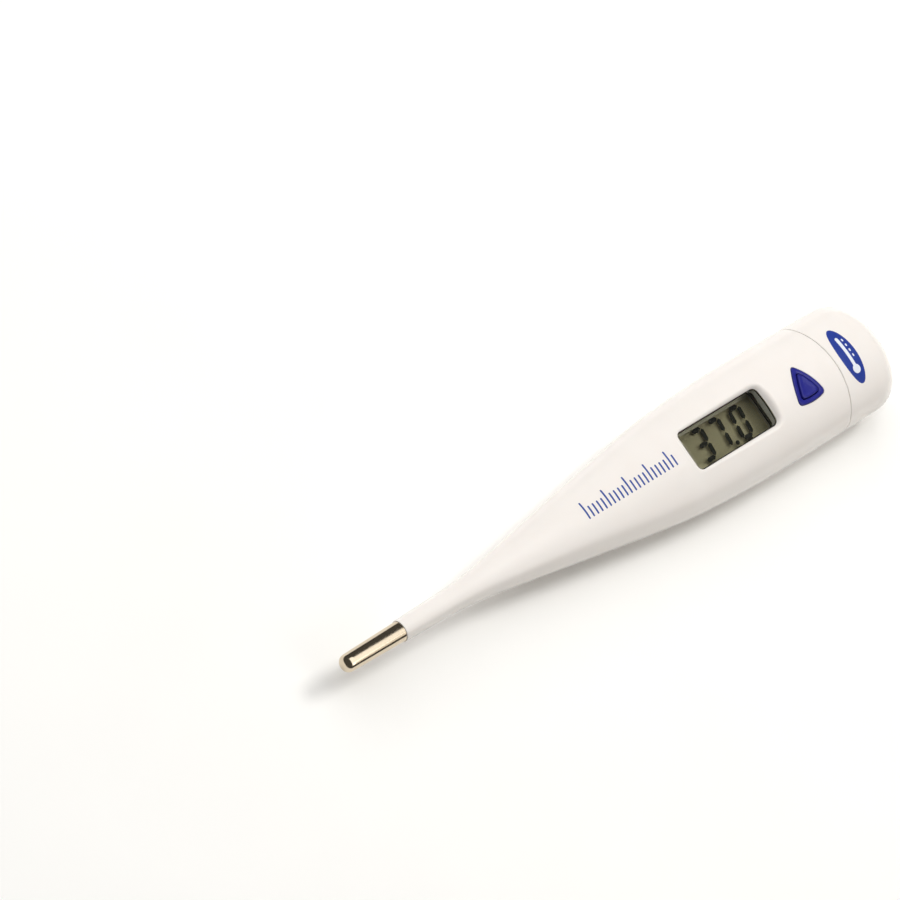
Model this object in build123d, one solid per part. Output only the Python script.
from build123d import *
import os
from math import hypot, radians, tan

# Pencil-type digital thermometer, lying on its back with the display up.
# +X runs from the steel probe tip to the battery cap, +Y across, +Z up through the display.
# The origin is on the resting plane under the middle of the length.
# In this file "s" is the distance back from the very tip of the probe, and "z" in the
# sizes below is the height above the mid-plane of the body.

# ---- outline of the body, from the tip to the tail ------------------------------------
TIP_LENGTH = 12.5          # steel tip that shows
STEM_LENGTH = 15.0         # slim round stem behind the tip
FLARE_LENGTH = 44.0        # widening part between stem and grip
GRIP_LENGTH = 43.3         # grip with display and button, up to the cap's seam
CAP_LENGTH = 15.0          # battery cap, from the seam to the tail
GRIP_WIDTH = 21.5
GRIP_THICKNESS = 13.0
SHOULDER_WIDTH = 18.6      # where the flare runs into the grip
SHOULDER_THICKNESS = 11.4
SHOULDER_RUN = 31.5        # length over which the grip still grows after the shoulder
STEM_FRONT_DIAMETER = 3.8
STEM_REAR_DIAMETER = 4.5
THICKNESS_FULLNESS = 0.3   # how much earlier the thickness grows than the width
SHOULDER_EASE = 2.2        # how fast the growth after the shoulder dies away
SHOULDER_BREAK = 0.63      # slope just after the shoulder over the flare's slope
STEM_BLEND = 0.8           # softness of the bend from stem to flare
SHOULDER_BLEND = 0.5
TAIL_ROUNDING = 7.8        # length of the rounded end
TAIL_POWER = 2.3           # 2 is an elliptical end, more is squarer
STATION_STEP = 3.65        # spacing of the sections that the body is lofted through
TAIL_STATIONS = (0.25, 0.45, 0.62, 0.76, 0.87, 0.95, 0.99)   # shares of the rounded end
SMALLEST_SECTION = 0.3     # half height below which an inset body stops
REST_FLAT_DEPTH = 0.35     # flat land on the back that the body rests on
BEYOND = 10.0              # reach of a cutting block past the body
OVERCUT = 0.1              # cuts start this far before the face they open

# ---- seam between housing and battery cap ---------------------------------------------
SEAM_RADIUS = 36.0
SEAM_GAP = 0.1

# ---- hollow of the grip ---------------------------------------------------------------
CAVITY_WIDTH = 15.0
CAVITY_HEIGHT = 8.4
CAVITY_RADIUS = 3.2
CAVITY_CEILING = 4.0       # z of the flat ceiling
CAVITY_START_BEHIND_SHOULDER = 3.5
STEM_BORE_DIAMETER = 1.9
CONE_REAR_RADIUS = 3.0     # bore inside the flare, at its wide end
CONE_OVERLAP = 0.5

# ---- steel tip with its sensor --------------------------------------------------------
TIP_REAR_DIAMETER = 3.56
TIP_NOSE_DIAMETER = 3.1
TIP_NOSE_RADIUS = 1.25
TIP_WALL = 0.25
STUB_LENGTH = 4.0          # part of the stem that the steel tip is glued on
STUB_CLEARANCE = 0.03
POTTING_LENGTH = 6.5
BEAD_DIAMETER = 1.5
BEAD_LENGTH = 1.8
BEAD_START = 1.6
BEAD_FLAT = 0.05           # radius of the flat left on the bead's nose
LEAD_DIAMETER = 0.3
LEAD_PITCH = 0.6
LEAD_ON_BOARD = 2.6        # length of each lead's end that lies on the board

# ---- display window -------------------------------------------------------------------
WINDOW_LENGTH = 20.0
WINDOW_WIDTH = 7.8
WINDOW_RADIUS = 1.1
WINDOW_BEHIND_SHOULDER = 15.65  # centre of the window, back from the shoulder
BEVEL_START = 5.3          # z where the window's wall turns into the bevel
BEVEL_ANGLE = 42.0
BEVEL_HEIGHT = 2.0         # of the cutter, past the body's surface
BEVEL_FILLET = 0.4
RIM_REACH = 2.5            # the bevel's outer edge lies within this of the window
LENS_RECESS = 0.55         # top of the lens under the body's crown
LENS_THICKNESS = 0.45
LENS_SKIRT = 0.25
LENS_CLEARANCE = 0.05
LENS_FLANGE_REACH = 0.5
LENS_FLANGE_THICKNESS = 0.4
GASKET_THICKNESS = 0.65
GASKET_REACH = 1.1

# ---- liquid crystal display -----------------------------------------------------------
LCD_LENGTH = 21.6
LCD_WIDTH = 10.4
GLASS_THICKNESS = 0.55
GLASS_CORNER_RADIUS = 0.2
POLARISER_THICKNESS = 0.15
POLARISER_MARGIN = 0.4
REFLECTOR_MARGIN = 0.2
CELL_GAP = 0.1
CELL_SEAL_WIDTH = 0.5
CONTACT_LEDGE = 1.4        # strip of front glass that overhangs the rear glass
DIGIT_HEIGHT = 6.3
DIGIT_WIDTH = 3.1
DIGIT_STROKE = 0.8
DIGIT_GAP = 0.12
DIGIT_SLANT = 6.5
DIGIT_OFFSET_Y = 0.05
DIGIT_STARTS = (-5.85, -1.55, 3.75)  # left foot of each digit, from the window's centre
POINT_OFFSET = 2.5                 # decimal point, from the window's centre

# ---- electronics ----------------------------------------------------------------------
BOARD_TOP = 0.0            # z
BOARD_THICKNESS = 0.8
BOARD_WIDTH = 11.2
BOARD_CORNER_RADIUS = 0.5
BOARD_FRONT_MARGIN = 0.6   # from the cavity's front wall to the board
BOARD_REAR_MARGIN = 1.6    # from the board to the cap's spigot
HOLDER_WALL = 0.85
HOLDER_FLOOR = 0.5
HOLDER_CLEARANCE = 0.05
HOLDER_CORNER_RADIUS = 0.5
HOLDER_LEDGE = 1.0         # ledge inside the frame that the display lies on
ZEBRA_LENGTH = 19.0
ZEBRA_WIDTH = 0.9
CHIP_DIAMETER = 5.4
CHIP_HEIGHT = 1.0
CHIP_AHEAD_OF_WINDOW = 3.0
SOUNDER_DIAMETER = 9.0
SOUNDER_CERAMIC_DIAMETER = 6.4
SOUNDER_LAYER = 0.2
SOUNDER_BEHIND_WINDOW = 6.5
SMD_LENGTH = 1.6
SMD_WIDTH = 0.8
SMD_HEIGHT = 0.5
SMD_BEHIND_HOLDER = 1.1
SMD_ON_TOP = (-3.2, 3.2)   # y of the small parts on the board's top
SMD_UNDERNEATH = ((-9.0, -2.5), (-9.0, 2.5), (13.0, -3.0))   # from the window's centre, and y

# ---- chassis --------------------------------------------------------------------------
CHASSIS_CLEARANCE = 0.15
CHASSIS_FLOOR = 0.75
CHASSIS_LEDGE = 0.7        # ledge on each side that the board lies on
BOARD_SIDE_GAP = 0.05
RAIL_DROP = 0.05           # rails end this far under the board's top
TRAY_WALL = 1.2

# ---- power button ---------------------------------------------------------------------
BUTTON_BEHIND_WINDOW = 18.95    # centre to centre
BUTTON_HALF_BASE = 3.35
BUTTON_APEX = 3.5
BUTTON_BASE = -3.3
BUTTON_SIDE_BULGE = 0.5
BUTTON_CORNER_RADIUS = 0.45
BUTTON_HOLE_CLEARANCE = 0.06
SURROUND_BAND = 0.85
SURROUND_PROUD = 0.12
PAD_GAP = 0.14
PAD_PROUD = 0.3
PAD_EDGE = 0.2
BUTTON_LEDGE = 0.5
BUTTON_LEDGE_TOP = 4.9     # z
FLANGE_CLEARANCE = 0.12
FLANGE_THICKNESS = 0.45
FLANGE_GAP = 0.05          # under the housing's ledge
BUTTON_TRAVEL = 0.4
PLUNGER_DIAMETER = 2.4
DOME_DIAMETER = 5.0
DOME_LEFT = 0.2            # height of the dome when the button is fully pressed
DOME_SHEET = 0.1
DOME_GAP = 0.03

# ---- battery, contacts and cap --------------------------------------------------------
CELL_DIAMETER = 7.9        # LR41
CELL_HEIGHT = 3.6
CELL_BEHIND_SEAM = 4.3
CELL_BOTTOM = -2.4         # z
CELL_CLEARANCE = 0.1
CELL_STEP = 0.5            # height of the smaller terminal under the can
CELL_STEP_INSET = 0.7
CELL_EDGE = 0.2
CONTACT_THICKNESS = 0.25
CONTACT_WIDTH = 3.0
CONTACT_FOOT = 3.0         # length of the lower contact that lies under the board
LOWER_RISER_GAP = 0.1      # between the board's end and the lower contact
LOWER_REACH = 2.0          # past the cell's centre
UPPER_WIDTH = 1.9
UPPER_EDGE = 0.2           # from the board's side
UPPER_FOOT = 2.2
UPPER_RISER_INSET = 0.4    # from the board's end
FINGER_REACH = 1.5         # past the middle, over the cell
SPIGOT_LENGTH = 4.0
SPIGOT_ROOT = 2.0          # part of the spigot inside the cap's shell
SPIGOT_CLEARANCE = 0.08
SPIGOT_WALL = 1.07
TRAY_CLEARANCE = 0.15
TRAY_OVERLAP = 1.0         # tray, chassis and spigot openings run this far into each other
CAP_END_CLEARANCE = 0.8
SEAL_AHEAD = 0.5           # of the middle of the spigot
SEAL_GROOVE_DEPTH = 0.55
SEAL_WIDTH = 1.0
SEAL_SIDE_GAP = 0.05
SEAL_EDGE = 0.22
SEAL_BORE_CLEARANCE = 0.03
BADGE_LENGTH = 11.6        # across the cap
BADGE_WIDTH = 4.2
BADGE_BEHIND_SEAM = 3.6
BADGE_THICKNESS = 0.15

# ---- places that follow from the sizes above ------------------------------------------
STEM_END = TIP_LENGTH + STEM_LENGTH
SHOULDER = STEM_END + FLARE_LENGTH
SEAM = SHOULDER + GRIP_LENGTH
TAIL = SEAM + CAP_LENGTH
AXIS_HEIGHT = GRIP_THICKNESS / 2 - REST_FLAT_DEPTH
WINDOW = SHOULDER + WINDOW_BEHIND_SHOULDER
BUTTON = WINDOW + BUTTON_BEHIND_WINDOW
CELL = SEAM + CELL_BEHIND_SEAM
BADGE = SEAM + BADGE_BEHIND_SEAM
CAVITY_START = SHOULDER + CAVITY_START_BEHIND_SHOULDER
CAVITY_MIDDLE = CAVITY_CEILING - CAVITY_HEIGHT / 2
BOARD_START = CAVITY_START + BOARD_FRONT_MARGIN
SPIGOT_START = SEAM - SPIGOT_LENGTH
BOARD_END = SPIGOT_START - BOARD_REAR_MARGIN
TRAY_INSET = SPIGOT_CLEARANCE + SPIGOT_WALL + TRAY_CLEARANCE
TRAY_WIDTH = CAVITY_WIDTH - 2 * TRAY_INSET
SEAL_MIDDLE = SEAM - SPIGOT_LENGTH / 2 - SEAL_AHEAD
TRAY_START = SPIGOT_START - TRAY_OVERLAP
TRAY_END = CELL + CELL_DIAMETER / 2 + TRAY_WALL
CAP_POCKET_END = TRAY_END + CAP_END_CLEARANCE
DOME_HEIGHT = DOME_LEFT + BUTTON_TRAVEL

# layers of the display, from the lens down
FLANGE_BOTTOM = CAVITY_CEILING - LENS_FLANGE_THICKNESS
LCD_TOP = FLANGE_BOTTOM - GASKET_THICKNESS
FRONT_GLASS_TOP = LCD_TOP - POLARISER_THICKNESS
CELL_GAP_TOP = FRONT_GLASS_TOP - GLASS_THICKNESS
REAR_GLASS_TOP = CELL_GAP_TOP - CELL_GAP
REFLECTOR_TOP = REAR_GLASS_TOP - GLASS_THICKNESS
LCD_BOTTOM = REFLECTOR_TOP - POLARISER_THICKNESS


def at(s, y=0.0, z=0.0):
    """Place in the part's frame of a point given by s, y and height over the mid-plane."""
    return (s - TAIL / 2, y, z + AXIS_HEIGHT)


def across(s):
    """Plane across the body at s, with its own x along +Y and its own y along +Z."""
    return Plane(origin=at(s), x_dir=(0, 1, 0), z_dir=(1, 0, 0))


def level(z, s=0.0, y=0.0):
    """Horizontal plane at height z over the mid-plane, centred on s, y."""
    return Plane(origin=at(s, y, z), x_dir=(1, 0, 0), z_dir=(0, 0, 1))


def block(s, y, z):
    """Box between two values of s, two of y and two of z."""
    centre = at((s[0] + s[1]) / 2, (y[0] + y[1]) / 2, (z[0] + z[1]) / 2)
    return Pos(*centre) * Box(s[1] - s[0], y[1] - y[0], z[1] - z[0])


def plate(length, width, radius, s, z, y=0.0):
    """Flat plate with rounded corners, centred on s and y, between two heights."""
    outline = level(z[0], s, y) * RectangleRounded(length, width, radius)
    return extrude(outline, amount=z[1] - z[0])


# ---- outer surface --------------------------------------------------------------------
def soft_min(a, b, softness):
    """The smaller of two lengths, with a rounded change from one to the other."""
    near = max(softness - abs(a - b), 0) / softness
    return min(a, b) - near ** 2 * softness / 4


def half_size(s, shoulder, full, fullness):
    """Half width or half height at s: stem, flare and grip lines, blended softly."""
    front, rear = STEM_FRONT_DIAMETER / 2, STEM_REAR_DIAMETER / 2
    stem = front + (rear - front) * (s - TIP_LENGTH) / STEM_LENGTH
    u = (s - STEM_END) / FLARE_LENGTH
    bow = fullness * u * (1 - u) if 0 < u < 1 else fullness * min(u, 1 - u)
    flare = rear + (shoulder - rear) * (u + bow)
    if s < SHOULDER:
        grip = shoulder + (s - SHOULDER) * SHOULDER_BREAK * (shoulder - rear) / FLARE_LENGTH
    else:
        v = min((s - SHOULDER) / SHOULDER_RUN, 1)
        grip = shoulder + (full - shoulder) * (1 - (1 - v) ** SHOULDER_EASE)
    widening = -soft_min(-stem, -flare, STEM_BLEND)
    return soft_min(widening, grip, SHOULDER_BLEND)


def outline_stations():
    """Half widths and half heights of the body at distances from the tip."""
    round_start = TAIL - TAIL_ROUNDING
    count = round((round_start - TIP_LENGTH) / STATION_STEP)
    stations = []
    for i in range(count + 1):
        s = TIP_LENGTH + (round_start - TIP_LENGTH) * i / count
        wide = half_size(s, SHOULDER_WIDTH / 2, GRIP_WIDTH / 2, 0)
        high = half_size(s, SHOULDER_THICKNESS / 2, GRIP_THICKNESS / 2, THICKNESS_FULLNESS)
        stations.append((s, wide, high))
    for t in TAIL_STATIONS:
        share = (1 - t ** TAIL_POWER) ** (1 / TAIL_POWER)
        stations.append((round_start + TAIL_ROUNDING * t / TAIL_STATIONS[-1],
                         wide * share, high * share))
    return stations


def outer_body(grow=0.0):
    """Oval body, lofted through its stations and flattened on the back; grow offsets it."""
    sections = [across(s) * Ellipse(wide + grow, high + grow)
                for s, wide, high in outline_stations() if high + grow > SMALLEST_SECTION]
    body = loft(sections)
    below = block((-BEYOND, TAIL + BEYOND), (-GRIP_WIDTH, GRIP_WIDTH),
                  (-GRIP_THICKNESS, -AXIS_HEIGHT - grow))
    return body - below


def ahead_of_seam(gap=0.0):
    """Everything on the probe's side of the curved seam."""
    centre = SEAM - SEAM_RADIUS
    bow = extrude(level(-GRIP_THICKNESS, centre) * Circle(SEAM_RADIUS + gap),
                  amount=2 * GRIP_THICKNESS)
    front = block((-BEYOND, centre), (-SEAM_RADIUS, SEAM_RADIUS),
                  (-GRIP_THICKNESS, GRIP_THICKNESS))
    return bow + front


def tube_section(inset):
    """Cross-section of the grip's hollow, made smaller all round by inset."""
    outline = RectangleRounded(CAVITY_WIDTH - 2 * inset, CAVITY_HEIGHT - 2 * inset,
                               CAVITY_RADIUS - inset)
    return Pos(0, CAVITY_MIDDLE) * outline


def tube(s, inset):
    """Bar with the section of the grip's hollow, between two values of s."""
    return extrude(across(s[0]) * tube_section(inset), amount=s[1] - s[0])


# ---- probe ----------------------------------------------------------------------------
def tip_solid(inset, s):
    """The steel tip's turned form, made smaller by inset, between two values of s."""
    nose = TIP_NOSE_DIAMETER / 2 - inset
    rear = TIP_REAR_DIAMETER / 2 - inset
    start = at(inset)
    end = at(TIP_LENGTH)
    profile = make_face(Plane.XZ * Polyline(
        (start[0], start[2]), (start[0], start[2] + nose),
        (end[0], end[2] + rear), (end[0], end[2]), close=True))
    turned = revolve(profile, Axis(start, (1, 0, 0)))
    rim = turned.edges().filter_by(GeomType.CIRCLE).sort_by(Axis.X)[0]
    turned = fillet(rim, TIP_NOSE_RADIUS - inset)
    return turned & block(s, (-5, 5), (-5, 5))


def make_probe_tip():
    return tip_solid(0.0, (0.0, TIP_LENGTH)) - tip_solid(TIP_WALL, (0.0, TIP_LENGTH))


def make_bead():
    body = across(BEAD_START) * Circle(BEAD_DIAMETER / 2)
    bead = extrude(body, amount=BEAD_LENGTH)
    front = bead.edges().filter_by(GeomType.CIRCLE).sort_by(Axis.X)[0]
    return fillet(front, BEAD_DIAMETER / 2 - BEAD_FLAT)


def make_lead(side):
    start = BEAD_START + BEAD_LENGTH
    end = BOARD_START + LEAD_ON_BOARD
    place = Pos(side * LEAD_PITCH / 2, BOARD_TOP + LEAD_DIAMETER / 2)
    return extrude(across(start) * place * Circle(LEAD_DIAMETER / 2), amount=end - start)


def make_potting():
    potting = tip_solid(TIP_WALL, (0.0, POTTING_LENGTH))
    return potting - make_bead() - make_lead(-1) - make_lead(1)


# ---- housing --------------------------------------------------------------------------
def window_outline(grow=0.0):
    return RectangleRounded(WINDOW_LENGTH + 2 * grow, WINDOW_WIDTH + 2 * grow,
                            WINDOW_RADIUS + grow)


def window_cut():
    """Straight wall of the display opening with a bevel opening out above it."""
    depth = BEVEL_START - CAVITY_CEILING
    wall = extrude(level(CAVITY_CEILING - OVERCUT, WINDOW) * window_outline(),
                   amount=depth + OVERCUT)
    bevel = extrude(level(BEVEL_START, WINDOW) * window_outline(), amount=BEVEL_HEIGHT,
                    taper=-BEVEL_ANGLE)
    return wall + bevel


def button_outline(grow=0.0):
    """Three bowed sides with rounded corners, apex towards +Y; grow moves each side out."""
    height = BUTTON_APEX - BUTTON_BASE
    inscribed = BUTTON_HALF_BASE * height / (BUTTON_HALF_BASE + hypot(BUTTON_HALF_BASE, height))
    centre = Vector(0, BUTTON_BASE + inscribed)
    scale = 1 + grow / inscribed
    corners = [centre + (Vector(x, y) - centre) * scale
               for x, y in ((0, BUTTON_APEX), (-BUTTON_HALF_BASE, BUTTON_BASE),
                            (BUTTON_HALF_BASE, BUTTON_BASE))]
    sides = []
    for a, b in zip(corners, corners[1:] + corners[:1]):
        outward = (b - a).cross(Vector(0, 0, 1)).normalized()
        sides.append(ThreePointArc(a, (a + b) / 2 + outward * BUTTON_SIDE_BULGE * scale, b))
    face = make_face(sides)
    return fillet(face.vertices(), BUTTON_CORNER_RADIUS * scale)


def button_prism(grow, z):
    return extrude(level(z[0], BUTTON) * button_outline(grow), amount=z[1] - z[0])


def hollow_of_housing():
    """Stem bore, cone inside the flare and the grip's cavity."""
    start = TIP_LENGTH - STUB_LENGTH - OVERCUT
    bore = extrude(across(start) * Circle(STEM_BORE_DIAMETER / 2),
                   amount=STEM_END + CONE_OVERLAP - start)
    length = CAVITY_START + CONE_OVERLAP - STEM_END
    cone = Cone(STEM_BORE_DIAMETER / 2, CONE_REAR_RADIUS, length,
                align=(Align.CENTER, Align.CENTER, Align.MIN))
    return [bore, across(STEM_END) * cone, tube((CAVITY_START, SEAM + BEYOND), 0.0)]


def make_housing():
    housing = outer_body() & ahead_of_seam()
    stub = tip_solid(TIP_WALL + STUB_CLEARANCE, (TIP_LENGTH - STUB_LENGTH, TIP_LENGTH))
    housing = housing + stub
    top = GRIP_THICKNESS
    for cut in hollow_of_housing():
        housing = housing - cut
    housing = housing - window_cut()
    housing = housing - button_prism(BUTTON_HOLE_CLEARANCE, (BUTTON_LEDGE_TOP, top))
    housing = housing - button_prism(-BUTTON_LEDGE, (CAVITY_CEILING - OVERCUT, top))
    return housing.fillet(BEVEL_FILLET, window_rim(housing))


def window_rim(housing):
    """Outer edges of the display's bevel."""
    reach = WINDOW_LENGTH / 2 + RIM_REACH
    middle = at(WINDOW)
    return [e for e in housing.edges()
            if abs(e.center().X - middle[0]) < reach
            and abs(e.center().Y) < WINDOW_WIDTH / 2 + RIM_REACH
            and e.center().Z > at(0, 0, BEVEL_START + OVERCUT)[2]]


def lens_bar(inset, depth):
    """Bar of the window's outline, made smaller, whose top is this deep under the crown."""
    bar = extrude(level(FLANGE_BOTTOM, WINDOW) * window_outline(-inset), amount=GRIP_THICKNESS)
    return bar & outer_body(-depth)


def make_lens():
    """Clear cover of even thickness on a skirt, with a flange glued under the window's edge."""
    pane = lens_bar(LENS_CLEARANCE, LENS_RECESS)
    flange = plate(WINDOW_LENGTH + 2 * LENS_FLANGE_REACH, WINDOW_WIDTH + 2 * LENS_FLANGE_REACH,
                   WINDOW_RADIUS, WINDOW, (FLANGE_BOTTOM, CAVITY_CEILING))
    return pane + flange - lens_bar(LENS_CLEARANCE + LENS_SKIRT, LENS_RECESS + LENS_THICKNESS)


def make_display_gasket():
    outer = plate(WINDOW_LENGTH + 2 * GASKET_REACH, WINDOW_WIDTH + 2 * GASKET_REACH,
                  WINDOW_RADIUS, WINDOW, (LCD_TOP, FLANGE_BOTTOM))
    inner = extrude(level(LCD_TOP, WINDOW) * window_outline(), amount=GASKET_THICKNESS)
    return outer - inner


# ---- liquid crystal display -----------------------------------------------------------
def make_front_glass():
    return plate(LCD_LENGTH, LCD_WIDTH, GLASS_CORNER_RADIUS, WINDOW,
                 (CELL_GAP_TOP, FRONT_GLASS_TOP))


def rear_plate(z, margin=0.0):
    """Plate of the rear glass's size, which leaves the contact ledge of the front glass free."""
    width = LCD_WIDTH - CONTACT_LEDGE
    return plate(LCD_LENGTH - 2 * margin, width - 2 * margin, GLASS_CORNER_RADIUS, WINDOW, z,
                 y=-CONTACT_LEDGE / 2)


def make_cell_seal():
    z = (REAR_GLASS_TOP, CELL_GAP_TOP)
    return rear_plate(z) - rear_plate(z, CELL_SEAL_WIDTH)


def stroke(a, b):
    """Display segment from a to b in a digit's own frame, pointed at both ends."""
    a, b = Vector(*a), Vector(*b)
    along = (b - a).normalized()
    side = Vector(-along.Y, along.X) * (DIGIT_STROKE / 2)
    a, b = a + along * DIGIT_GAP, b - along * DIGIT_GAP
    inner = along * (DIGIT_STROKE / 2)
    return [a, a + inner + side, b - inner + side, b, b - inner - side, a + inner - side]


def digit_strokes(names):
    """Segments of one digit, lettered a to g in the usual way."""
    half = DIGIT_STROKE / 2
    left, right = half, DIGIT_WIDTH - half
    low, mid, high = half, DIGIT_HEIGHT / 2, DIGIT_HEIGHT - half
    ends = {"a": ((left, high), (right, high)), "b": ((right, mid), (right, high)),
            "c": ((right, low), (right, mid)), "d": ((left, low), (right, low)),
            "e": ((left, low), (left, mid)), "f": ((left, mid), (left, high)),
            "g": ((left, mid), (right, mid))}
    return [stroke(*ends[name]) for name in names]


def make_lcd_segments():
    """Dark segments of the reading, leaning towards the tail."""
    lean = tan(radians(DIGIT_SLANT))
    foot = DIGIT_OFFSET_Y - DIGIT_HEIGHT / 2
    solids = []
    for start, names in zip(DIGIT_STARTS, ("abcdg", "abc", "abcdef")):
        for points in digit_strokes(names):
            corners = [(start + p.X + lean * p.Y, foot + p.Y) for p in points]
            face = make_face(Polyline(*corners, close=True))
            solids.append(extrude(level(REAR_GLASS_TOP, WINDOW) * face, amount=CELL_GAP))
    point = Pos(POINT_OFFSET, foot + DIGIT_STROKE / 2) * Circle(DIGIT_STROKE / 2)
    solids.append(extrude(level(REAR_GLASS_TOP, WINDOW) * point, amount=CELL_GAP))
    return Compound(children=solids)


def make_lcd_holder():
    """Frame that carries the display above the board, with a slot for the rubber contact strip."""
    length = LCD_LENGTH + 2 * (HOLDER_WALL + HOLDER_CLEARANCE)
    width = LCD_WIDTH + 2 * (HOLDER_WALL + HOLDER_CLEARANCE)
    top = FRONT_GLASS_TOP
    holder = plate(length, width, HOLDER_CORNER_RADIUS, WINDOW, (BOARD_TOP, top))
    pocket = plate(LCD_LENGTH + 2 * HOLDER_CLEARANCE, LCD_WIDTH + 2 * HOLDER_CLEARANCE,
                   GLASS_CORNER_RADIUS + HOLDER_CLEARANCE, WINDOW, (LCD_BOTTOM, top))
    under = plate(LCD_LENGTH - 2 * HOLDER_LEDGE, LCD_WIDTH - 2 * HOLDER_LEDGE,
                  HOLDER_CORNER_RADIUS, WINDOW, (BOARD_TOP, LCD_BOTTOM - HOLDER_FLOOR))
    y = zebra_middle()
    half = ZEBRA_WIDTH / 2 + HOLDER_CLEARANCE
    reach = ZEBRA_LENGTH / 2 + HOLDER_CLEARANCE
    slot = block((WINDOW - reach, WINDOW + reach), (y - half, y + half), (BOARD_TOP, top))
    leads = block((WINDOW - length, WINDOW - LCD_LENGTH / 2 + 2 * HOLDER_LEDGE), (-LEAD_PITCH, LEAD_PITCH),
                  (BOARD_TOP, BOARD_TOP + 2 * LEAD_DIAMETER))
    return holder - pocket - under - slot - leads


def zebra_middle():
    return LCD_WIDTH / 2 - CONTACT_LEDGE / 2


def make_zebra_strip():
    y = zebra_middle()
    return block((WINDOW - ZEBRA_LENGTH / 2, WINDOW + ZEBRA_LENGTH / 2),
                 (y - ZEBRA_WIDTH / 2, y + ZEBRA_WIDTH / 2), (BOARD_TOP, CELL_GAP_TOP))


# ---- board and chassis ----------------------------------------------------------------
def make_board():
    middle = (BOARD_START + BOARD_END) / 2
    return plate(BOARD_END - BOARD_START, BOARD_WIDTH, BOARD_CORNER_RADIUS, middle,
                 (BOARD_TOP - BOARD_THICKNESS, BOARD_TOP))


def make_chip_cover():
    """Black resin blob over the bare chip, on the board's underside."""
    bottom = BOARD_TOP - BOARD_THICKNESS
    blob = extrude(level(bottom - CHIP_HEIGHT, WINDOW - CHIP_AHEAD_OF_WINDOW)
                   * Circle(CHIP_DIAMETER / 2), amount=CHIP_HEIGHT)
    rim = blob.edges().filter_by(GeomType.CIRCLE).sort_by(Axis.Z)[0]
    return fillet(rim, CHIP_HEIGHT * 0.9)


def make_chip_parts():
    """Resistors and capacitors on both sides of the board."""
    behind_holder = WINDOW + LCD_LENGTH / 2 + HOLDER_WALL + SMD_BEHIND_HOLDER
    under = BOARD_TOP - BOARD_THICKNESS
    places = [(behind_holder, y, BOARD_TOP) for y in SMD_ON_TOP]
    places += [(WINDOW + s, y, under - SMD_HEIGHT) for s, y in SMD_UNDERNEATH]
    parts = [block((s - SMD_WIDTH / 2, s + SMD_WIDTH / 2),
                   (y - SMD_LENGTH / 2, y + SMD_LENGTH / 2), (z, z + SMD_HEIGHT))
             for s, y, z in places]
    return Compound(children=parts)


def chassis_floor_top():
    return CAVITY_MIDDLE - CAVITY_HEIGHT / 2 + CHASSIS_CLEARANCE + CHASSIS_FLOOR


def make_chassis():
    """Tray in the grip that carries the board, with the battery's tray behind it."""
    start = CAVITY_START + CHASSIS_CLEARANCE
    rail_top = BOARD_TOP - RAIL_DROP
    under = BOARD_TOP - BOARD_THICKNESS
    wide = (-CAVITY_WIDTH, CAVITY_WIDTH)
    high = (-GRIP_THICKNESS, GRIP_THICKNESS)
    front = tube((start, TRAY_START), CHASSIS_CLEARANCE)
    front = front & block((start, TRAY_START), wide, (-GRIP_THICKNESS, rail_top))
    board_half = BOARD_WIDTH / 2 + BOARD_SIDE_GAP
    front = front - block((BOARD_START - BOARD_SIDE_GAP, TRAY_START + TRAY_OVERLAP),
                          (-board_half, board_half), (under, high[1]))
    ledge_half = BOARD_WIDTH / 2 - CHASSIS_LEDGE
    front = front - block((BOARD_START + CHASSIS_LEDGE, TRAY_START + TRAY_OVERLAP),
                          (-ledge_half, ledge_half), (chassis_floor_top(), high[1]))
    return front + battery_tray()


def tray_floor_top():
    return CELL_BOTTOM - CONTACT_THICKNESS


def battery_tray():
    """Narrow tray behind the board, which reaches through the cap's spigot to the battery."""
    half = TRAY_WIDTH / 2
    wall_top = CELL_BOTTOM + CELL_HEIGHT
    start = TRAY_START - TRAY_OVERLAP
    tray = tube((start, TRAY_END), TRAY_INSET)
    tray = tray & block((start, TRAY_END), (-half, half),
                        (-GRIP_THICKNESS, wall_top))
    tray = tray - block((start, CELL - CELL_DIAMETER / 2 + TRAY_WALL),
                        (-half + TRAY_WALL, half - TRAY_WALL), (tray_floor_top(), wall_top))
    pocket = extrude(level(tray_floor_top(), CELL) * Circle(CELL_DIAMETER / 2 + CELL_CLEARANCE),
                     amount=GRIP_THICKNESS)
    tray = tray - pocket
    rails = BOARD_WIDTH / 2 + BOARD_SIDE_GAP
    cut_for_board = block((start, BOARD_END + BOARD_SIDE_GAP), (-rails, rails),
                          (BOARD_TOP - BOARD_THICKNESS, GRIP_THICKNESS))
    return tray - cut_for_board


def make_sounder_disc():
    bottom = chassis_floor_top()
    return extrude(level(bottom, WINDOW + SOUNDER_BEHIND_WINDOW) * Circle(SOUNDER_DIAMETER / 2),
                   amount=SOUNDER_LAYER)


def make_sounder_ceramic():
    bottom = chassis_floor_top() + SOUNDER_LAYER
    place = level(bottom, WINDOW + SOUNDER_BEHIND_WINDOW)
    return extrude(place * Circle(SOUNDER_CERAMIC_DIAMETER / 2), amount=SOUNDER_LAYER)


# ---- power button ---------------------------------------------------------------------
def make_button_surround():
    """Fixed blue rim, glued on the ledge of the housing and following its crown."""
    band = button_prism(0.0, (BUTTON_LEDGE_TOP, GRIP_THICKNESS))
    hole = button_prism(-SURROUND_BAND, (BUTTON_LEDGE_TOP - OVERCUT, GRIP_THICKNESS))
    return (band - hole) & outer_body(SURROUND_PROUD)


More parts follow.
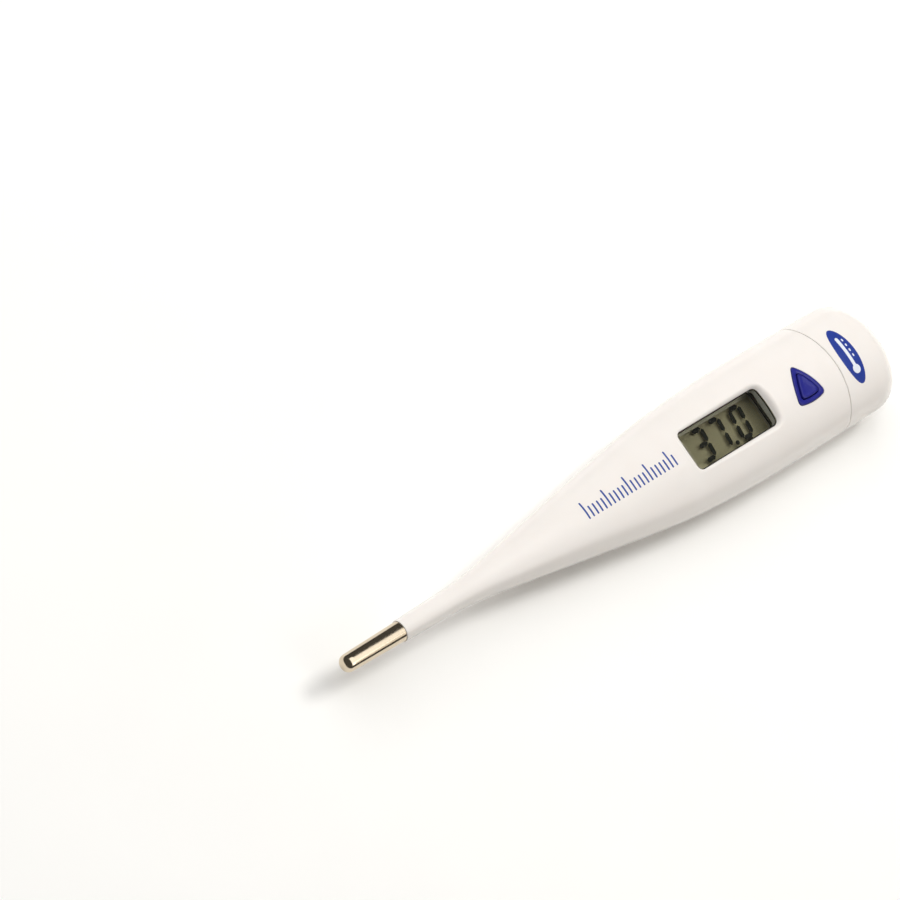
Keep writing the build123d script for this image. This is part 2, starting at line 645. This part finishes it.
def make_power_button():
    """Moving blue pad with a retaining flange and a plunger over the snap dome."""
    pad = button_prism(-SURROUND_BAND - PAD_GAP, (flange_z()[0], GRIP_THICKNESS))
    pad = pad & outer_body(PAD_PROUD)
    rim = pad.faces().sort_by(Axis.Z)[-1].edges()
    pad = fillet(rim, PAD_EDGE)
    flange = button_prism(-BUTTON_LEDGE - FLANGE_CLEARANCE, flange_z())
    low = BOARD_TOP + DOME_HEIGHT + DOME_GAP
    plunger = extrude(level(low, BUTTON) * Circle(PLUNGER_DIAMETER / 2),
                      amount=flange_z()[0] - low)
    return pad + flange + plunger


def flange_z():
    top = BUTTON_LEDGE_TOP - FLANGE_GAP
    return (top - FLANGE_THICKNESS, top)


def make_snap_dome():
    """Domed metal switch disc on the board."""
    half = DOME_DIAMETER / 2

    def cap(half_width, height):
        radius = (half_width ** 2 + height ** 2) / (2 * height)
        ball = Pos(*at(BUTTON, 0, BOARD_TOP + height - radius)) * Sphere(radius)
        return ball & block((BUTTON - half, BUTTON + half), (-half, half),
                            (BOARD_TOP, BOARD_TOP + 2 * DOME_HEIGHT))
    return cap(half, DOME_HEIGHT) - cap(half - DOME_SHEET, DOME_HEIGHT - DOME_SHEET)


# ---- battery --------------------------------------------------------------------------
def make_button_cell():
    """LR41 cell: a can with its smaller terminal face down."""
    can = extrude(level(CELL_BOTTOM + CELL_STEP, CELL) * Circle(CELL_DIAMETER / 2),
                  amount=CELL_HEIGHT - CELL_STEP)
    can = fillet(can.edges().filter_by(GeomType.CIRCLE), CELL_EDGE)
    terminal = extrude(level(CELL_BOTTOM, CELL) * Circle(CELL_DIAMETER / 2 - CELL_STEP_INSET),
                       amount=CELL_STEP + CELL_EDGE)
    return can + terminal


def make_lower_contact():
    """Springy strip from the board's underside to below the cell."""
    half = CONTACT_WIDTH / 2
    low = tray_floor_top()
    under = BOARD_TOP - BOARD_THICKNESS
    riser = BOARD_END + LOWER_RISER_GAP
    strip = block((riser, CELL + LOWER_REACH), (-half, half), (low, low + CONTACT_THICKNESS))
    strip += block((riser, riser + CONTACT_THICKNESS), (-half, half), (low, under))
    strip += block((BOARD_END - CONTACT_FOOT, riser + CONTACT_THICKNESS), (-half, half),
                   (under - CONTACT_THICKNESS, under))
    return strip


def make_upper_contact():
    """Springy strip from the board's top, past the switch, to above the cell."""
    outer = BOARD_WIDTH / 2 - UPPER_EDGE
    inner = outer - UPPER_WIDTH
    top = CELL_BOTTOM + CELL_HEIGHT
    riser = BOARD_END - UPPER_RISER_INSET
    foot = block((BOARD_END - UPPER_FOOT, riser + CONTACT_THICKNESS), (inner, outer),
                 (BOARD_TOP, BOARD_TOP + CONTACT_THICKNESS))
    post = block((riser, riser + CONTACT_THICKNESS), (inner, outer),
                 (BOARD_TOP, top + CONTACT_THICKNESS))
    arm = block((riser, CELL), (inner, outer), (top, top + CONTACT_THICKNESS))
    finger = block((CELL - CONTACT_WIDTH / 2, CELL + CONTACT_WIDTH / 2), (-FINGER_REACH, outer),
                   (top, top + CONTACT_THICKNESS))
    return foot + post + arm + finger


# ---- battery cap ----------------------------------------------------------------------
def badge_prism():
    outline = Ellipse(BADGE_WIDTH / 2, BADGE_LENGTH / 2)
    return extrude(level(0, BADGE) * outline, amount=GRIP_THICKNESS)


def make_badge():
    """Plain oval inlay in the cap's top."""
    return (badge_prism() & outer_body()) - outer_body(-BADGE_THICKNESS)


def make_battery_cap():
    shell = outer_body() - ahead_of_seam(SEAM_GAP)
    inset = SPIGOT_CLEARANCE
    spigot = tube((SPIGOT_START, SEAM + SPIGOT_ROOT), inset)
    half = SEAL_WIDTH / 2 + SEAL_SIDE_GAP
    sides = (SEAL_MIDDLE - half, SEAL_MIDDLE + half)
    groove = tube(sides, 0) - tube(sides, inset + SEAL_GROOVE_DEPTH)
    pocket = tube((SPIGOT_START - OVERCUT, CAP_POCKET_END), inset + SPIGOT_WALL)
    cap = shell + spigot - groove - pocket
    return cap - (badge_prism() - outer_body(-BADGE_THICKNESS))


def make_cap_seal():
    """Rubber ring in the spigot's groove."""
    s = (SEAL_MIDDLE - SEAL_WIDTH / 2, SEAL_MIDDLE + SEAL_WIDTH / 2)
    ring = tube(s, SEAL_BORE_CLEARANCE)
    ends = ring.faces().filter_by(Plane.YZ).edges()
    ring = fillet(ends, SEAL_EDGE)
    return ring - tube(s, SPIGOT_CLEARANCE + SEAL_GROOVE_DEPTH)


def write_parts():
    """One STEP file for each piece."""
    pieces = {
        "housing": make_housing(),
        "probe_tip": make_probe_tip(),
        "thermistor_bead": make_bead(),
        "sensor_lead_left": make_lead(1),
        "sensor_lead_right": make_lead(-1),
        "tip_potting": make_potting(),
        "display_lens": make_lens(),
        "display_gasket": make_display_gasket(),
        "lcd_front_polariser": plate(LCD_LENGTH - 2 * POLARISER_MARGIN,
                                     LCD_WIDTH - 2 * POLARISER_MARGIN,
                                     GLASS_CORNER_RADIUS, WINDOW, (FRONT_GLASS_TOP, LCD_TOP)),
        "lcd_front_glass": make_front_glass(),
        "lcd_cell_seal": make_cell_seal(),
        "lcd_segments": make_lcd_segments(),
        "lcd_rear_glass": rear_plate((REFLECTOR_TOP, REAR_GLASS_TOP)),
        "lcd_reflector": rear_plate((LCD_BOTTOM, REFLECTOR_TOP), REFLECTOR_MARGIN),
        "lcd_holder": make_lcd_holder(),
        "zebra_strip": make_zebra_strip(),
        "circuit_board": make_board(),
        "chip_cover": make_chip_cover(),
        "chip_parts": make_chip_parts(),
        "sounder_disc": make_sounder_disc(),
        "sounder_ceramic": make_sounder_ceramic(),
        "chassis": make_chassis(),
        "snap_dome": make_snap_dome(),
        "button_surround": make_button_surround(),
        "power_button": make_power_button(),
        "button_cell": make_button_cell(),
        "lower_contact": make_lower_contact(),
        "upper_contact": make_upper_contact(),
        "battery_cap": make_battery_cap(),
        "cap_seal": make_cap_seal(),
        "cap_badge": make_badge(),
    }
    os.makedirs("parts", exist_ok=True)
    for name, piece in pieces.items():
        export_step(piece, f"parts/{name}.step")


write_parts()
